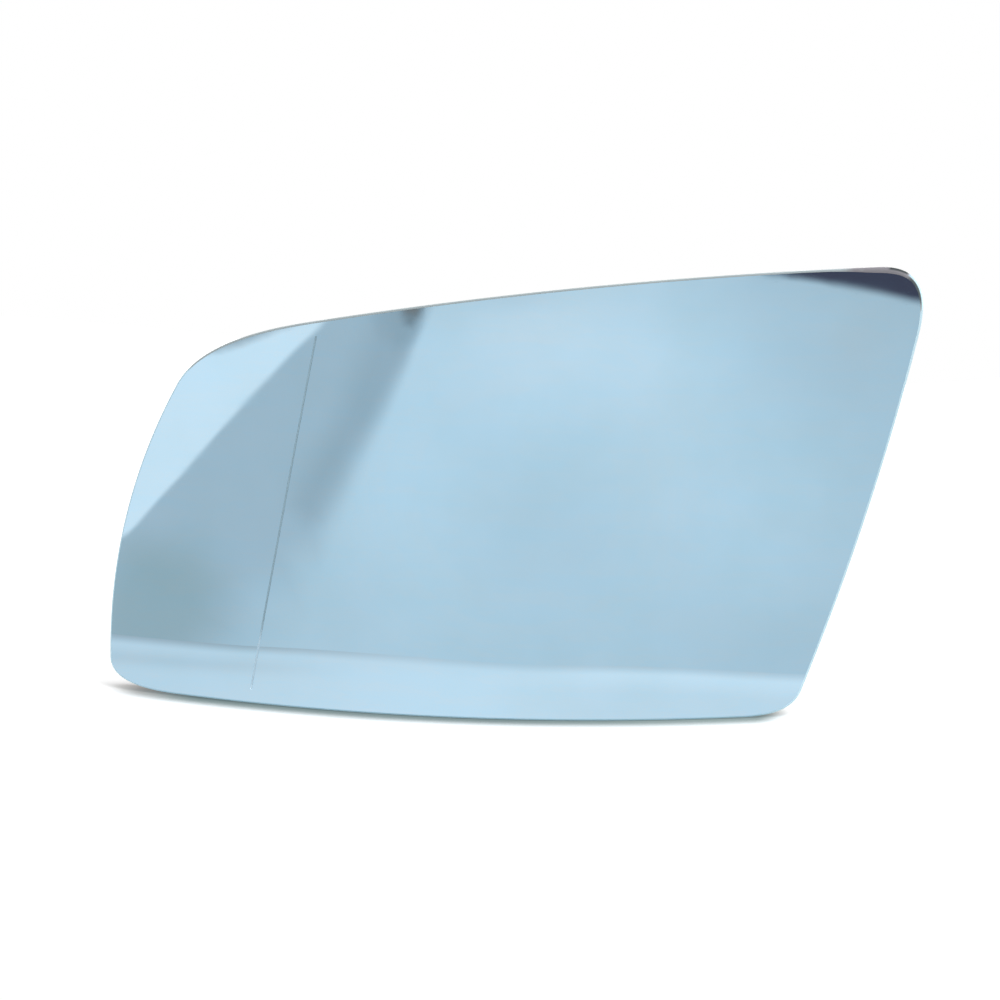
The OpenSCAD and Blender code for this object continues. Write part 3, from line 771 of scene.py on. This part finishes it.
def adhesive_foam_finish():
    """Closed-cell foam, cut square."""
    material, tree, shader, place = new_finish("adhesive_foam")
    cells = tree.node("ShaderNodeTexVoronoi", {"Vector": place, "Scale": 3400}).outputs["Distance"]
    tree.set(shader.inputs["Base Color"], tree.blend(tree.ramp(cells, 0.1, 0.6), (0.012, 0.012, 0.013, 1),
                                                     (0.05, 0.05, 0.052, 1)))
    tree.set(shader.inputs["Roughness"], tree.ramp(cells, 0.1, 0.6, 0.7, 0.92))
    tree.set(shader.inputs["Normal"], tree.bump(cells, 6e-5, 0.8))
    return material


# Pieces of the back

def eased_copy(node_name, name, width, finish):
    """A copy of a CAD solid with its doubles merged and its sharp edges eased."""
    merge_reach, flat_angle, sharp_angle = 2e-6, math.radians(0.6), math.radians(32)
    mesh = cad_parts[node_name].data.copy()
    work = bmesh.new()
    work.from_mesh(mesh)
    bmesh.ops.remove_doubles(work, verts=work.verts, dist=merge_reach)
    bmesh.ops.dissolve_limit(work, angle_limit=flat_angle, verts=work.verts, edges=work.edges)
    for f in work.faces:
        f.smooth = True
    work.to_mesh(mesh)
    work.free()
    piece = new_object(name, mesh)
    ease = piece.modifiers.new("eased edges", "BEVEL")
    ease.width = width
    ease.segments = 2
    ease.limit_method = "ANGLE"
    ease.angle_limit = sharp_angle
    ease.harden_normals = True
    ease.use_clamp_overlap = True
    flat = bpy.data.meshes.new_from_object(piece.evaluated_get(bpy.context.evaluated_depsgraph_get()))
    piece.modifiers.clear()
    piece.data = flat
    flat.name = name
    flat.materials.clear()
    flat.materials.append(finish)
    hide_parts(node_name)
    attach(piece, "root")
    return piece


def wire_path():
    """Middle of the spring wire in its plane: across and up, in mm, from tail to tail."""
    first = WIRE_GAP / 2
    x = Vector((math.cos(first), -math.sin(first)))
    z = Vector((math.sin(first), math.cos(first)))
    centre = (WIRE_R + WIRE_BEND_R) * z
    corner = centre - WIRE_BEND_R * x
    tail_steps, bend_steps, ring_steps = 3, 14, 150
    end = [corner + z * WIRE_TAIL * (1 - k / tail_steps) for k in range(tail_steps)]
    for k in range(bend_steps):
        b = math.pi / 2 * k / bend_steps
        end.append(centre - WIRE_BEND_R * (math.cos(b) * x + math.sin(b) * z))
    step = (2 * math.pi - WIRE_GAP) / ring_steps
    ring = [WIRE_R * Vector((math.sin(first + step * k), math.cos(first + step * k)))
            for k in range(ring_steps + 1)]
    return end + ring + [Vector((-p.x, p.y)) for p in reversed(end)]


def wire_tree():
    """Sweeps a round section along a line of points, with a domed end at each tail."""
    group = bpy.data.node_groups.new("spring_wire", "GeometryNodeTree")
    ids = {"geometry": tree_input(group, "Geometry", "NodeSocketGeometry"),
           "Wire diameter": tree_input(group, "Wire diameter", "NodeSocketFloat", WIRE_D * MM),
           "Sides": tree_input(group, "Sides", "NodeSocketInt", 24),
           "Finish": tree_input(group, "Finish", "NodeSocketMaterial")}
    group.interface.new_socket("Geometry", in_out="OUTPUT", socket_type="NodeSocketGeometry")
    tree = Tree(group)
    given = tree.node("NodeGroupInput").outputs
    path = tree.node("GeometryNodeMeshToCurve", {"Mesh": given["Geometry"]}).outputs[0]
    section = tree.node("GeometryNodeCurvePrimitiveCircle",
                        {"Resolution": given["Sides"],
                         "Radius": tree.maths("DIVIDE", given["Wire diameter"], 2.0)}).outputs[0]
    swept = tree.node("GeometryNodeCurveToMesh", {"Curve": path, "Profile Curve": section})
    swept.inputs["Fill Caps"].default_value = True
    if "Scale" in swept.inputs:
        tree.set(swept.inputs["Scale"], tree.attribute("fullness"))
    smooth = tree.node("GeometryNodeSetShadeSmooth", {"Geometry": swept.outputs[0]}).outputs[0]
    whole = tree.node("GeometryNodeRealizeInstances", {"Geometry": smooth}).outputs[0]
    done = tree.node("GeometryNodeSetMaterial", {"Geometry": whole, "Material": given["Finish"]}).outputs[0]
    tree.node("NodeGroupOutput", {"Geometry": done})
    return group, ids


def make_spring_wire():
    path = wire_path()
    # Domed ends: the section shrinks over the last half diameter of each tail
    dome = [(0.0, 0.35), (0.12, 0.72), (0.28, 0.93), (0.5, 1.0)]
    start_d, end_d = (path[1] - path[0]).normalized(), (path[-2] - path[-1]).normalized()
    first = [(path[0] + start_d * WIRE_D * s, w) for s, w in dome]
    last = [(path[-1] + end_d * WIRE_D * s, w) for s, w in reversed(dome)]
    run = first + [(p, 1.0) for p in path[1:-1]] + last
    data = bpy.data.meshes.new("wire_path")
    data.from_pydata([(p.x * MM, 0, p.y * MM) for p, _ in run], [(k, k + 1) for k in range(len(run) - 1)], [])
    data.attributes.new("fullness", "FLOAT", "POINT").data.foreach_set("value", [w for _, w in run])
    group, ids = wire_tree()
    wire = grown("spring_wire", data, group, {ids["Finish"]: spring_steel_finish()})
    mesh = bmesh.new()
    mesh.from_mesh(wire.data)
    bmesh.ops.recalc_face_normals(mesh, faces=mesh.faces)
    mesh.to_mesh(wire.data)
    mesh.free()
    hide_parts("retaining_spring")
    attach(wire, "root")


def make_back():
    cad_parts["heater_mat"].data.materials[0] = heater_film_finish()
    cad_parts["adhesive_pad"].data.materials[0] = adhesive_foam_finish()
    tin = tinned_brass_finish()
    eased_copy("carrier", "moulded_carrier", 0.16 * MM, black_plastic_finish())
    eased_copy("terminal_upper", "blade_terminal_upper", 0.07 * MM, tin)
    eased_copy("terminal_lower", "blade_terminal_lower", 0.07 * MM, tin)
    eased_copy("terminal_rivets", "hollow_rivets", 0.05 * MM, rivet_brass_finish())
    make_spring_wire()


# The studio

def stage_mesh(name, vertices, faces, material):
    data = bpy.data.meshes.new(name)
    data.from_pydata(vertices, [], faces)
    data.materials.append(material)
    piece = new_object(name, data)
    return piece


def table_finish():
    """Pale sheet. What the camera sees of it is white but for shadows, and its front edge fades a little."""
    material, tree, surface = bare_finish("table_sheet")
    rays = tree.node("ShaderNodeLightPath").outputs
    on_sheet = tree.node("ShaderNodeUVMap", uv_map="sheet").outputs[0]
    sheet = tree.node("ShaderNodeSeparateXYZ", {0: on_sheet}).outputs
    shadow_reach = 0.0125
    near = tree.node("ShaderNodeAmbientOcclusion", {"Distance": shadow_reach}, samples=24).outputs["AO"]
    # The shadow at the foot of the glass is darkest in the middle and fades beyond both of its corners
    outer = tree.blend(tree.ramp(sheet["X"], -0.1, -0.09), (0.62, 0.61, 0.6, 1), (0.35, 0.345, 0.335, 1))
    dark = tree.blend(tree.ramp(sheet["X"], -0.094, -0.076), outer, (0.18, 0.222, 0.22, 1))
    dark = tree.blend(tree.ramp(sheet["X"], -0.01, 0.05), dark, (0.25, 0.295, 0.285, 1))
    dark = tree.blend(tree.ramp(sheet["X"], 0.055, 0.064, 0.0, 0.88), dark, grey(1))
    shaded = tree.blend(tree.ramp(near, 0.55, 1.0), dark, grey(1))
    paint = tree.node("ShaderNodeBsdfDiffuse", {"Color": tree.blend(0.14, shaded, grey(0))}).outputs[0]
    lift, nothing = tree.emission(shaded, 0.66), tree.emission(grey(0), 0.0)
    only_seen = tree.mixed(rays["Is Camera Ray"], nothing, lift)
    plain = tree.node("ShaderNodeAddShader", {0: paint, 1: only_seen}).outputs[0]
    # Seen in the glass, it shows a painted glow that rises softly from the tone of the wall at its front
    # edge. It is a little brighter there on the inner side, darker towards its outer end, and has a soft
    # painted shade across that end, as of a crease.
    def share(base, low, high, to_low, to_high):
        return tree.ramp(sheet[base], low, high, to_low, to_high)

    def product(a, b):
        return tree.maths("MULTIPLY", a, b)

    wall_tone = share("X", -0.095, -0.03, 0.63, 0.81)
    at_front = tree.maths("SUBTRACT", wall_tone, share("X", -0.01, 0.03, 0.0, 0.07))
    rise = share("Y", 0.0, 0.012, at_front, 1.0)
    level = product(rise, share("Y", 0.006, 0.024, 0.93, 0.955))
    inner = product(share("X", -0.02, 0.025, 0.0, 1.0), share("Y", 0.008, 0.03, 0.05, -0.05))
    outer = product(share("X", -0.1, -0.01, -0.085, 0.0), share("Y", 0.002, 0.016, 0.5, 1.0))
    off_crease = tree.maths("DIVIDE", tree.maths("SUBTRACT", sheet["Y"], 0.023), 0.007)
    crease_shade = tree.maths("EXPONENT", product(product(off_crease, off_crease), -1.0))
    crease_shade = product(crease_shade, share("X", -0.04, -0.09, 0.0, -0.09))
    for change in (inner, outer, crease_shade):
        level = tree.maths("ADD", level, change)
    glow = tree.emission((0.97, 0.99, 1.0, 1), level)
    tree.set(surface, tree.mixed(rays["Is Glossy Ray"], plain, glow))
    return material


def hollow(x, centre, radius, limit):
    """Rise of a soft hollow at a distance from its middle. It levels out at the limit."""
    return limit * (1 - math.exp(-(x - centre) ** 2 / (2 * radius * limit)))


def front_edge(x):
    """Where the sheet's slightly wavy front edge lies, at a place across."""
    def wave(middle, reach, power=2):
        return math.exp(-((x - middle) / reach) ** power)

    front = -0.0697
    forward = 0.0022 * wave(0.027, 0.028) + 0.0013 * wave(-0.055, 0.026, power=4)
    back = 0.0014 * wave(-0.003, 0.012) + 0.0012 * smooth_share(-x, 0.062, 0.085)
    back += 0.0035 * smooth_share(x, 0.03, 0.072)
    return front + hollow(x, centre=-0.03, radius=0.28, limit=0.06) + back - forward


def make_table():
    """Thick soft sheet with a rounded front edge. It gives way a little under the glass that stands on it."""
    clearance = 0.1 * MM
    top = cad_box[0].z - clearance
    rear, half_w, edge_r, skirt = 0.7, 0.9, 0.002, 0.1
    columns = 96
    edge_steps = 8
    vertices, sheet = [], []
    for k in range(columns + 1):
        s = 2 * k / columns - 1
        x = half_w * (0.25 * s + 0.75 * s ** 3)
        height = top + hollow(x, centre=-0.0095, radius=0.92, limit=0.03)
        edge = front_edge(x)
        profile = [(edge, height - skirt)]
        for j in range(edge_steps, -1, -1):
            a = math.pi / 2 * j / edge_steps
            profile.append((edge + edge_r - edge_r * math.sin(a), height - edge_r + edge_r * math.cos(a)))
        profile += [(y, height) for y in (0.05, 0.2, rear)]
        vertices += [(x, y, z) for y, z in profile]
        sheet += [(x, y - edge) for y, z in profile]
    n = len(profile)
    faces = [(k * n + j, (k + 1) * n + j, (k + 1) * n + j + 1, k * n + j + 1)
             for k in range(columns) for j in range(n - 1)]
    table = stage_mesh("table_sheet", vertices, faces, table_finish())
    layer = table.data.uv_layers.new(name="sheet")
    for loop in table.data.loops:
        layer.data[loop.index].uv = sheet[loop.vertex_index]
    for f in table.data.polygons:
        f.use_smooth = True


def reflector_finish(name, colour):
    """Surface that the glass mirrors. Its cover attribute fades it out towards its edge."""
    material, tree, surface = bare_finish(name)
    cover = tree.node("ShaderNodeAttribute", attribute_name="cover").outputs["Fac"]
    clear = tree.node("ShaderNodeBsdfTransparent").outputs[0]
    tree.set(surface, tree.mixed(tree.ramp(cover, 0.0, 1.0), clear, tree.emission(colour, 1.0)))
    return material


def seen_only_in_glass(piece):
    piece.visible_camera = False
    piece.visible_diffuse = False
    piece.visible_transmission = False
    piece.visible_volume_scatter = False
    piece.visible_shadow = False


def moved_loop(loop, amounts):
    """A closed loop of pixels, moved outwards by an amount at each point."""
    area = sum(a[0] * b[1] - b[0] * a[1] for a, b in zip(loop, loop[1:] + loop[:1]))
    sign = 1 if area > 0 else -1
    moved = []
    for k, p in enumerate(loop):
        a, b = Vector(loop[k - 1]), Vector(loop[(k + 1) % len(loop)])
        here = Vector(p)
        n = ((here - a).normalized() + (b - here).normalized()).normalized()
        moved.append(tuple(here + sign * amounts[k] * Vector((n.y, -n.x))))
    return moved


def reflector(name, distance, colour, solid, points):
    """A card ahead of the glass, cut so that its mirror image has the given outline in the photograph.
    Each point is a pixel across and down, and half the width of the card's faded edge there."""
    pixels, softness = [(x, y) for x, y, _ in points], [s for _, _, s in points]
    inner = moved_loop(pixels, [-s for s in softness])
    outer = moved_loop(pixels, softness)
    vertices = [mirrored_sight(p, distance) * MM for p in inner + outer]
    n = len(pixels)
    faces = [tuple(range(n))] + [(k, (k + 1) % n, n + (k + 1) % n, n + k) for k in range(n)]
    card = stage_mesh(name, vertices, faces, reflector_finish(name, (*colour, 1)))
    card.data.attributes.new("cover", "FLOAT", "POINT").data.foreach_set("value", [solid] * n + [0.0] * n)
    seen_only_in_glass(card)


# The cards that the glass mirrors, from back to front: name, distance ahead of the glass in mm, colour,
# cover, and the outline of the mirror image. Each point is a pixel across and down, and half the width of
# the card's faded edge there.
# Each card glows with a share of the room's light and shade, painted into its colour
ROOM_CARDS = (
    ("shaded_wall", 1600, (0.575, 0.62, 0.645), 1.0,
     [(322, 240, 3), (480, 200, 3), (429, 310, 7), (412, 345, 9), (400, 372, 12), (374, 424, 15),
      (350, 474, 17), (325, 525, 20), (296, 560, 36), (262, 600, 60), (234, 655, 66), (205, 790, 66),
      (20, 800, 3), (20, 640, 3)]),
    ("green_shade", 1580, (0.475, 0.53, 0.53), 0.9,
     [(124, 540, 34), (196, 545, 38), (226, 580, 40), (222, 625, 38), (190, 656, 30), (136, 664, 22),
      (104, 640, 20), (100, 590, 28)]),
    ("drape_fold_shade", 1550, (0.49, 0.535, 0.56), 0.8,
     [(386, 300, 10), (425, 304, 3), (421, 326, 5), (409, 350, 7), (393, 382, 11), (373, 424, 13),
      (352, 456, 14), (334, 490, 16), (320, 518, 16), (306, 523, 16), (289, 506, 17), (301, 472, 18),
      (327, 430, 17), (348, 384, 18), (361, 344, 20), (368, 308, 16)]),
    ("drape_shade", 1535, (0.4, 0.44, 0.455), 0.5,
     [(372, 296, 18), (430, 284, 3), (419, 322, 5), (408, 344, 8), (395, 350, 11), (380, 326, 16)]),
    ("drape_edge_shade", 1520, (0.262, 0.285, 0.295), 0.75,
     [(398, 290, 9), (430, 286, 3), (420, 316, 4.5), (412, 327, 6), (404, 324, 7), (401, 312, 8)]),
    ("drape_top", 1500, (0.27, 0.225, 0.2), 0.85,
     [(399, 286, 7), (432, 276, 3), (425, 306, 4.5), (416, 314.5, 5), (404, 313, 6)]),
    ("white_panel", 1450, (0.995, 1.0, 1.0), 1.0,
     [(-40, 690, 3), (60, 602, 3), (136.5, 525, 3), (158, 500, 3), (181.5, 475, 3), (203, 450, 3),
      (225, 425, 3), (247.5, 400, 4), (271.5, 375, 4), (295, 350, 4), (317, 330, 4), (420, 232, 4),
      (300, 120, 3), (-60, 120, 3)]),
    ("panel_edge_shade", 1420, (0.4, 0.405, 0.41), 0.72,
     [(198, 356, 3), (212, 354, 4), (226, 350.5, 5), (242, 345.5, 5), (262, 338, 4.5), (290, 328, 3.5),
      (322, 320, 2.5), (322, 300, 3), (198, 320, 3)]),
    ("dark_end", 1400, (0.078, 0.07, 0.098), 1.0,
     [(745, 273, 3), (780, 276.5, 4), (800, 278.6, 5), (820, 281.6, 5), (840, 285, 6), (860, 288.6, 6),
      (880, 292.5, 6), (900, 297.2, 6), (923, 302.7, 6), (1000, 320, 6), (1000, 150, 3), (745, 150, 3)]),
)


# Soft patches of light and shade on the wall behind them, and of warmth. Each has its place across and down,
# its half width and half height, all as shares of the picture's width, and how much it adds.
LIGHT_PATCHES = (
    (0.611, 0.341, 0.204, 0.104, 0.172),
    (0.409, 0.49, 0.094, 0.134, 0.08),
    (0.761, 0.481, 0.17, 0.147, 0.196),
    (0.809, 0.391, 0.184, 0.25, -0.178),
    (0.515, 0.295, 0.05, 0.016, -0.07),
    (0.85, 0.31, 0.045, 0.04, 0.035),
    (0.795, 0.665, 0.09, 0.05, -0.035),
    (0.605, 0.55, 0.05, 0.04, -0.015),
)
WARM_PATCHES = (
    (0.537, 0.33, 0.085, 0.068, 0.95),
    (0.655, 0.418, 0.05, 0.113, 0.5),
    (0.855, 0.335, 0.03, 0.03, 0.5),
)


def room_wall_finish():
    """Grey-blue wall, placed by the share of the picture's width at which the glass shows each point."""
    material, tree, surface = bare_finish("room_wall")
    sight = tree.node("ShaderNodeUVMap", uv_map="sight").outputs[0]
    xy = tree.node("ShaderNodeSeparateXYZ", {0: sight}).outputs

    def pool(x, y, half_w, half_h):
        """Soft round patch of light or shade on the wall."""
        dx = tree.maths("DIVIDE", tree.maths("SUBTRACT", xy["X"], x), half_w)
        dy = tree.maths("DIVIDE", tree.maths("SUBTRACT", xy["Y"], y), half_h)
        square = tree.maths("ADD", tree.maths("MULTIPLY", dx, dx), tree.maths("MULTIPLY", dy, dy))
        return tree.maths("EXPONENT", tree.maths("MULTIPLY", square, -1.0))

    def add(base, patch, amount):
        return tree.maths("ADD", base, tree.maths("MULTIPLY", patch, amount))

    level = add(0.738, xy["Y"], 0.03)
    for *patch, amount in LIGHT_PATCHES:
        level = add(level, pool(*patch), amount)
    mottled = tree.maths("ADD", level, tree.ramp(tree.noise(sight, 9, 3.0), 0.3, 0.7, -0.01, 0.01))
    warmth = 0.0
    for *patch, amount in WARM_PATCHES:
        warmth = add(warmth, pool(*patch), amount)
    tone = tree.blend(warmth, (0.926, 1.0, 1.03, 1), (0.998, 1.0, 1.0, 1))
    tree.set(surface, tree.emission(tone, mottled))
    return material


def make_room_wall():
    """The wall behind the cards. Its rows and columns are pixels that reach past the edge of the glass."""
    wall_distance, step = 1700, 40
    columns, rows = range(-200, 1201, step), range(100, 901, step)
    vertices = [mirrored_sight((x, y), wall_distance) * MM for y in rows for x in columns]
    n = len(columns)
    faces = [(r * n + c, r * n + c + 1, (r + 1) * n + c + 1, (r + 1) * n + c)
             for r in range(len(rows) - 1) for c in range(n - 1)]
    wall = stage_mesh("room_wall", vertices, faces, room_wall_finish())
    layer = wall.data.uv_layers.new(name="sight")
    for loop in wall.data.loops:
        row, column = divmod(loop.vertex_index, n)
        layer.data[loop.index].uv = (columns[column] / IMAGE_W, rows[row] / IMAGE_W)
    seen_only_in_glass(wall)


def make_reflected_room():
    """What the glass mirrors: a grey-blue wall, a white panel, a dark drape and the dark end of the room, as
    glowing cards with their light and shade painted in.
    """
    make_room_wall()
    for card in ROOM_CARDS:
        reflector(*card)


def make_world():
    world = bpy.data.worlds.new("studio")
    bpy.context.scene.world = world
    world.use_nodes = True
    tree = Tree(world.node_tree)
    rays = tree.node("ShaderNodeLightPath").outputs
    seen = tree.maths("MAXIMUM", rays["Is Camera Ray"],
                      tree.maths("MAXIMUM", rays["Is Glossy Ray"], rays["Is Transmission Ray"]))
    ambient = 0.32
    background = world.node_tree.nodes["Background"]
    background.inputs["Color"].default_value = grey(1)
    tree.set(background.inputs["Strength"], tree.ramp(seen, 0, 1, ambient, 1.0, smooth=False))


def area_light(name, place, aim, size, power):
    data = bpy.data.lights.new(name, "AREA")
    data.shape = "RECTANGLE"
    data.size, data.size_y = size
    data.energy = power
    light = bpy.data.objects.new(name, data)
    bpy.context.scene.collection.objects.link(light)
    light.location = place
    light.rotation_euler = (Vector(aim) - Vector(place)).to_track_quat("-Z", "Y").to_euler()


def make_lights():
    area_light("softbox_right", (0.75, -0.55, 0.85), (0, 0, 0), (0.6, 0.6), 8.0)
    area_light("softbox_left", (-0.8, -0.3, 0.9), (0, 0, 0), (0.7, 0.7), 1.5)
    area_light("softbox_rear", (0.3, 0.95, 0.45), (0, 0, 0), (0.8, 0.6), 4.0)


def make_camera():
    data = bpy.data.cameras.new("camera")
    data.sensor_width = SENSOR_W
    data.lens = FOCAL_PIXELS * SENSOR_W / IMAGE_W
    data.shift_x = (IMAGE_W / 2 - CENTRE_PIXEL[0]) / IMAGE_W
    data.shift_y = (CENTRE_PIXEL[1] - IMAGE_W / 2) / IMAGE_W
    data.clip_start = 0.01
    camera = bpy.data.objects.new("camera", data)
    bpy.context.scene.collection.objects.link(camera)
    camera.location = EYE * MM
    camera.rotation_euler = (-BACK).to_track_quat("-Z", "Y").to_euler()
    bpy.context.scene.camera = camera


make_camera()
make_glass()
make_back()
make_table()
make_reflected_room()
make_world()
make_lights()
bpy.context.scene.view_settings.view_transform = "Standard"
